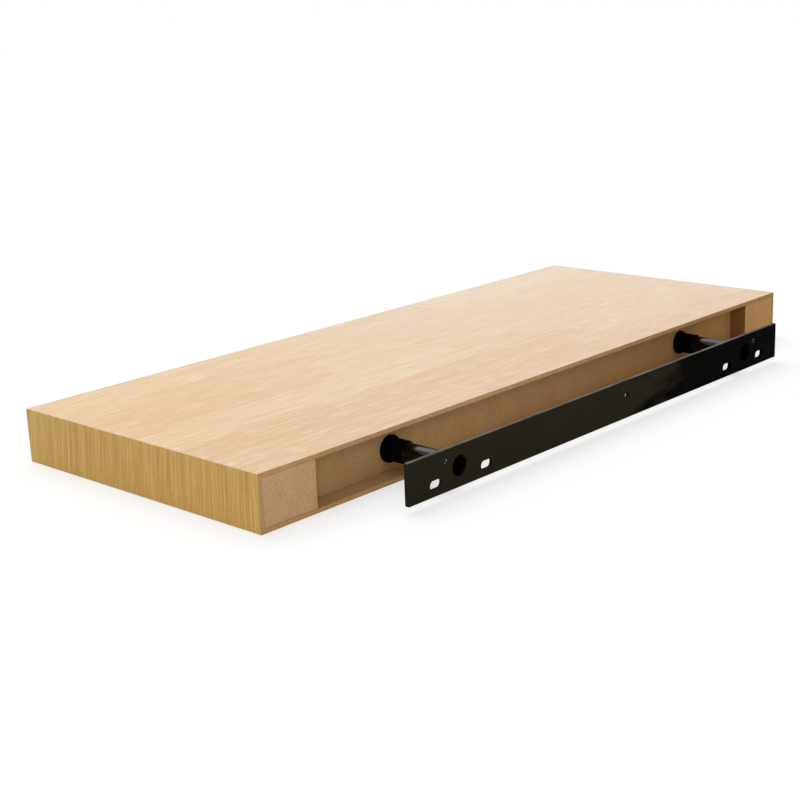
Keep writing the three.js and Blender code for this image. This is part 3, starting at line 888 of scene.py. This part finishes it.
def rod_sheath(side_name, side):
    """The plastic sheath over one tube, closed and rounded at its tip."""
    bore = TUBE_RADIUS + TUBE_FIT
    floor_y = PLATE_INNER_Y - TUBE_REACH - TUBE_FIT
    tip = floor_y - SHEATH_TIP_WALL
    mouth = PLATE_INNER_Y - SHEATH_START
    section = [
        (0.0, tip),
        *arc(SHEATH_RADIUS - SHEATH_TIP_ROUND, tip + SHEATH_TIP_ROUND, SHEATH_TIP_ROUND, 270, 360, 6),
        *arc(SHEATH_RADIUS - SHEATH_MOUTH_ROUND, mouth - SHEATH_MOUTH_ROUND, SHEATH_MOUTH_ROUND, 0, 90),
        (bore, mouth),
        (bore, floor_y),
        (0.0, floor_y),
    ]
    made = turned(f"{side_name}_sheath", section, (side * ROD_X, ROD_Z), PLASTIC)
    shade_round(made)
    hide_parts(f"{side_name}_rod_sheath")
    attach(made, "wall_bracket")


def cut_cross(made, x, z, wall_end):
    """Cuts a cross recess into a screw's wall end and gives its faces their own look.

    Both blades get shorter towards their floor, and the upright one gets thinner too.
    """
    levels = ((wall_end + CUT_OVERRUN, 1.0), (wall_end, 1.0), (wall_end - CROSS_DEPTH, CROSS_TAPER))
    long, narrow = CROSS_LENGTH / 2, CROSS_WIDTH / 2
    for half_x, half_z in ((long, narrow), (narrow, long)):
        rings = []
        for y, share in levels:
            u = half_x * share
            v = half_z * share if half_z > half_x else half_z
            corners = ((-u, v), (-u, -v), (u, -v), (u, v))
            rings.append([(x + across, y, z + up) for across, up in corners])
        points, sides = stacked(rings)
        carve(made, piece_of("blade", points, sides))
    made.data.materials.append(RUBBED)
    for polygon in made.data.polygons:
        from_axis = math.hypot(polygon.center.x - x, polygon.center.z - z)
        depth = wall_end - polygon.center.y
        in_mouth = from_axis < CROSS_LENGTH / 2 + CROSS_MARGIN
        if in_mouth and CROSS_MARGIN < depth < CROSS_DEPTH + CROSS_MARGIN:
            polygon.material_index = 1


def levelling_screw(side_name, side):
    """A headless screw with a real thread and a cross recess in its wall end."""
    x, z = side * (ROD_X + SCREW_OFFSET), ROD_Z + SCREW_RISE
    wall_end = WALL_Y - SCREW_SINK
    rings = []
    count = round(SCREW_LENGTH / THREAD_PITCH * THREAD_RINGS_PER_TURN)
    for level in range(count + 1):
        along = SCREW_LENGTH * level / count
        from_tip = SCREW_LENGTH - along
        point_cut = max(0.0, SCREW_POINT_LENGTH - from_tip) * SCREW_POINT_TAPER
        limit = SCREW_RADIUS - point_cut - max(0.0, SCREW_CHAMFER - along)
        ring = []
        for k in range(THREAD_SEGMENTS):
            angle = 2 * math.pi * k / THREAD_SEGMENTS
            turn = (along / THREAD_PITCH + k / THREAD_SEGMENTS) % 1.0
            crest = min(1.0, max(0.0, THREAD_FLANK * (0.5 - abs(turn - 0.5))))
            radius = min(limit, SCREW_RADIUS - THREAD_DEPTH * (1 - crest))
            ring.append((x + radius * math.cos(angle), wall_end - along, z + radius * math.sin(angle)))
        rings.append(ring)
    vertices, faces = stacked(rings)
    made = piece_of(f"{side_name}_threaded_screw", vertices, faces, [ZINC])
    cut_cross(made, x, z, wall_end)
    shade_round(made, angle=40)
    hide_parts(f"{side_name}_levelling_screw")
    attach(made, f"{side_name}_leveller")


skin("top_foiled_skin", "top_skin", 2, 1, FOIL)
skin("bottom_foiled_skin", "bottom_skin", 2, -1, FOIL)
skin("front_foiled_skin", "front_edge_skin", 1, -1, FOIL)
for name, side in SIDES:
    skin(f"{name}_foiled_end", f"{name}_end_skin", 0, side, END_FOIL)
    end_block(f"{name}_end_block", f"{name}_end_batten", side)
    rod_bush(name, side)
    support_tube(name, side)
    weld_bead(name, side)
    rod_sheath(name, side)
    levelling_screw(name, side)
    repaint(f"{name}_rod_batten", BATTEN_BOARD)
    repaint(f"{name}_honeycomb_core", KRAFT)
wall_plate()
repaint("rear_rail", RECESS_BOARD)
repaint("front_batten", BATTEN_BOARD)
repaint("middle_honeycomb_core", KRAFT)


# Floor, light and camera

FLOOR_SIZE = 12.0
FLOOR_DROP = 0.2 * MM
FLOOR_PALE = 0.86  # its colour as a source of bounced light
FLOOR_SHOWN = 0.45  # its lit share where it is seen, on which shadows fall
FLOOR_SELF_LIGHT = 0.6  # the share of its white that no shadow takes away
WORLD_LEVEL = 0.5
WHITE = (1.0, 1.0, 1.0, 1.0)
# Direction of the source, its width in degrees and its strength
SUNS = {
    "overhead": ((-0.2, -0.45, 1.0), 50, 1.12),
    "wall_side": ((0.45, 1.0, 0.6), 60, 0.7),
}
# The view, from a camera fitted to the board's corners in the photo: lens and sensor in millimetres,
# its place, and the direction that it looks from, round from +X and up from level, with its tilt
CAMERA_LENS = 67.33
CAMERA_SENSOR = 36.0
CAMERA_PLACE = (0.8441, 0.7203, 0.3149)
CAMERA_ROUND = 43.1354
CAMERA_RISE = 15.9268
CAMERA_TILT = -2.2549


def seen_directly(tree):
    """1 for camera, glossy and transmission rays, which see the plain white surroundings."""
    path = tree.nodes.new("ShaderNodeLightPath")
    total = None
    for ray in ("Is Camera Ray", "Is Glossy Ray", "Is Transmission Ray"):
        if total is None:
            total = path.outputs[ray]
            continue
        most = tree.nodes.new("ShaderNodeMath")
        most.operation = "MAXIMUM"
        tree.links.new(total, most.inputs[0])
        tree.links.new(path.outputs[ray], most.inputs[1])
        total = most.outputs[0]
    return total


def show(tree, indirect, direct, output_type):
    """Gives one shader to the rays that see it directly and another to all the rest."""
    choice = tree.nodes.new("ShaderNodeMixShader")
    tree.links.new(seen_directly(tree), choice.inputs[0])
    tree.links.new(indirect.outputs[0], choice.inputs[1])
    tree.links.new(direct.outputs[0], choice.inputs[2])
    output = tree.nodes.new(output_type)
    tree.links.new(choice.outputs[0], output.inputs["Surface"])


def diffuse(tree, level):
    """A matt shader of a neutral level."""
    node = tree.nodes.new("ShaderNodeBsdfDiffuse")
    node.inputs["Color"].default_value = (level, level, level, 1.0)
    return node


def floor():
    """A plain pale floor, white where it is seen, that keeps the object's soft shadow."""
    half = FLOOR_SIZE / 2
    corners = [(-half, -half), (half, -half), (half, half), (-half, half)]
    plane = piece_of("floor", [(x, y, -FLOOR_DROP) for x, y in corners], [(0, 1, 2, 3)])
    material = bpy.data.materials.new("pale_floor")
    material.use_nodes = True
    tree = material.node_tree
    tree.nodes.clear()
    glow = tree.nodes.new("ShaderNodeEmission")
    glow.inputs["Strength"].default_value = FLOOR_SELF_LIGHT
    both = tree.nodes.new("ShaderNodeAddShader")
    tree.links.new(diffuse(tree, FLOOR_SHOWN).outputs[0], both.inputs[0])
    tree.links.new(glow.outputs[0], both.inputs[1])
    show(tree, diffuse(tree, FLOOR_PALE), both, "ShaderNodeOutputMaterial")
    plane.data.materials.append(material)


def surroundings():
    """Even white surroundings that light the object plainly and are pure white where they are seen."""
    world = bpy.data.worlds.new("white_studio")
    bpy.context.scene.world = world
    world.use_nodes = True
    tree = world.node_tree
    tree.nodes.clear()
    glow = tree.nodes.new("ShaderNodeBackground")
    glow.inputs["Color"].default_value = WHITE
    glow.inputs["Strength"].default_value = WORLD_LEVEL
    white = tree.nodes.new("ShaderNodeBackground")
    white.inputs["Color"].default_value = WHITE
    show(tree, glow, white, "ShaderNodeOutputWorld")


def soft_sun(name, source, degrees, strength):
    """An even soft light from the direction of the source, as wide as the angle says."""
    data = bpy.data.lights.new(name, "SUN")
    data.angle = math.radians(degrees)
    data.energy = strength
    lamp = bpy.data.objects.new(name, data)
    lamp.rotation_euler = Vector(source).to_track_quat("Z", "Y").to_euler()
    bpy.context.scene.collection.objects.link(lamp)


def camera():
    """The photograph's view: from behind, off the board's right end and a little above."""
    data = bpy.data.cameras.new("camera")
    data.sensor_width = CAMERA_SENSOR
    data.lens = CAMERA_LENS
    made = bpy.data.objects.new("camera", data)
    matrix = Matrix.Translation(CAMERA_PLACE)
    for degrees, axis in ((90 + CAMERA_ROUND, "Z"), (90 - CAMERA_RISE, "X"), (CAMERA_TILT, "Z")):
        matrix @= Matrix.Rotation(math.radians(degrees), 4, axis)
    made.matrix_world = matrix
    bpy.context.scene.collection.objects.link(made)
    bpy.context.scene.camera = made


floor()
surroundings()
for name, (source, degrees, strength) in SUNS.items():
    soft_sun(name, source, degrees, strength)
camera()
bpy.context.scene.view_settings.view_transform = "Standard"
